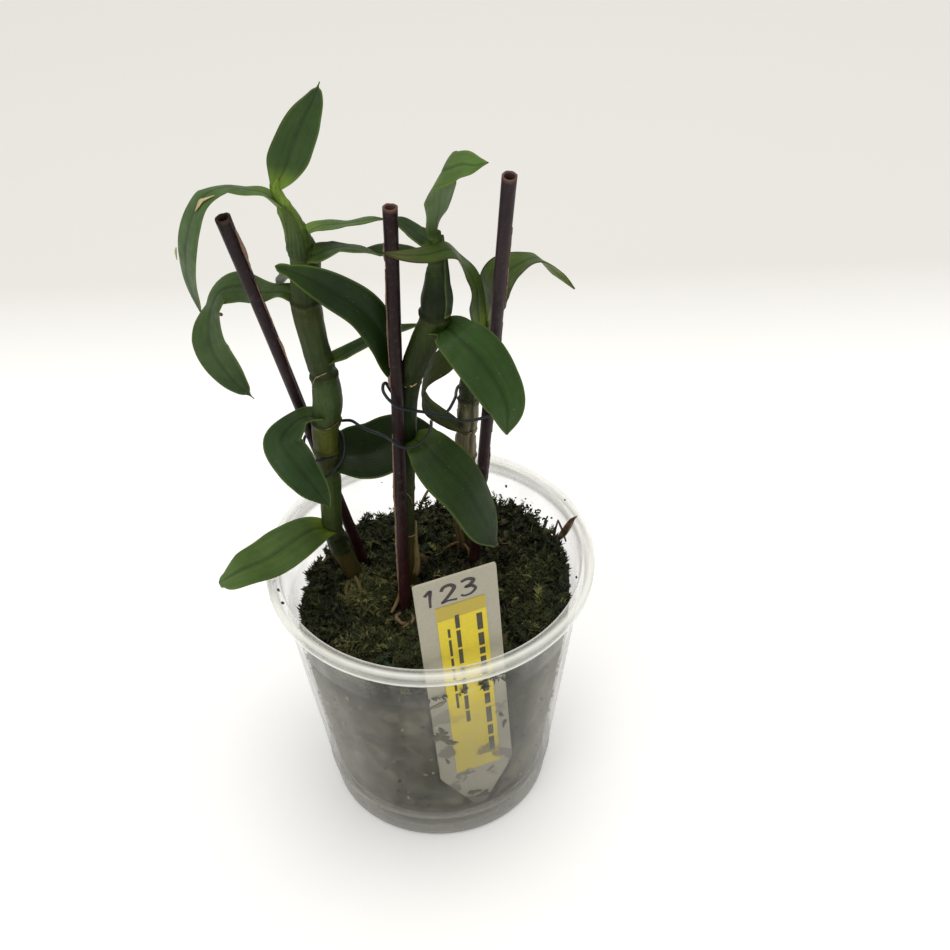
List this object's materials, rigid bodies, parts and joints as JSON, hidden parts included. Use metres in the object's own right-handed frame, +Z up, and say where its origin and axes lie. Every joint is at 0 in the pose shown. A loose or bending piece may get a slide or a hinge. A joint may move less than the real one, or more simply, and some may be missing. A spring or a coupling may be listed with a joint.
{
  "type": "dendrobium orchid in a pot",
  "caption": "Young potted orchid with jointed upright canes, arching strap leaves, plastic stakes with wire ties, a clear round pot and a plant label.",
  "frame": {"origin": "centre of the pot's flat base, on the surface it stands on", "axes": "+Z up, -Y towards the side of the pot that holds the label, +X to the right when facing the label"},
  "size_m": [0.1005, 0.0884, 0.2227],
  "materials": {
    "clear_plastic": "translucent, semi-gloss, lightly stained",
    "medium": "damp rough bark, fibre and moss",
    "cane": "satin, living stem with dry papery sheaths",
    "leaf": "semi-gloss living leaf",
    "old_leaf": "semi-gloss living leaf, olive",
    "stake": "satin dark plastic tube",
    "wire": "coated wire",
    "label": "satin white sheet",
    "sticker": "yellow paper sticker",
    "dry_bract": "dry papery bract"
  },
  "bodies": {
    "root": {"pot": "clear_plastic", "growing_medium": "medium", "cane_left": "cane", "cane_middle": "cane", "cane_right": "cane", "leaf_left_1": "leaf", "leaf_left_2": "leaf", "leaf_left_3": "leaf", "leaf_left_4": "leaf", "leaf_left_5": "leaf", "leaf_left_6": "leaf", "leaf_left_7": "leaf", "leaf_left_8": "leaf", "leaf_left_9": "leaf", "leaf_left_10": "leaf", "leaf_middle_1": "leaf", "leaf_middle_2": "leaf", "leaf_middle_3": "leaf", "leaf_middle_4": "leaf", "leaf_middle_5": "leaf", "leaf_middle_6": "leaf", "leaf_right_1": "old_leaf", "leaf_right_2": "old_leaf", "leaf_right_3": "old_leaf", "stake_left": "stake", "stake_middle": "stake", "stake_right": "stake", "tie_left": "wire", "tie_middle": "wire", "tie_right": "wire", "label": "label", "label_sticker": "sticker", "dry_bract": "dry_bract"}
  },
  "joints": []
}
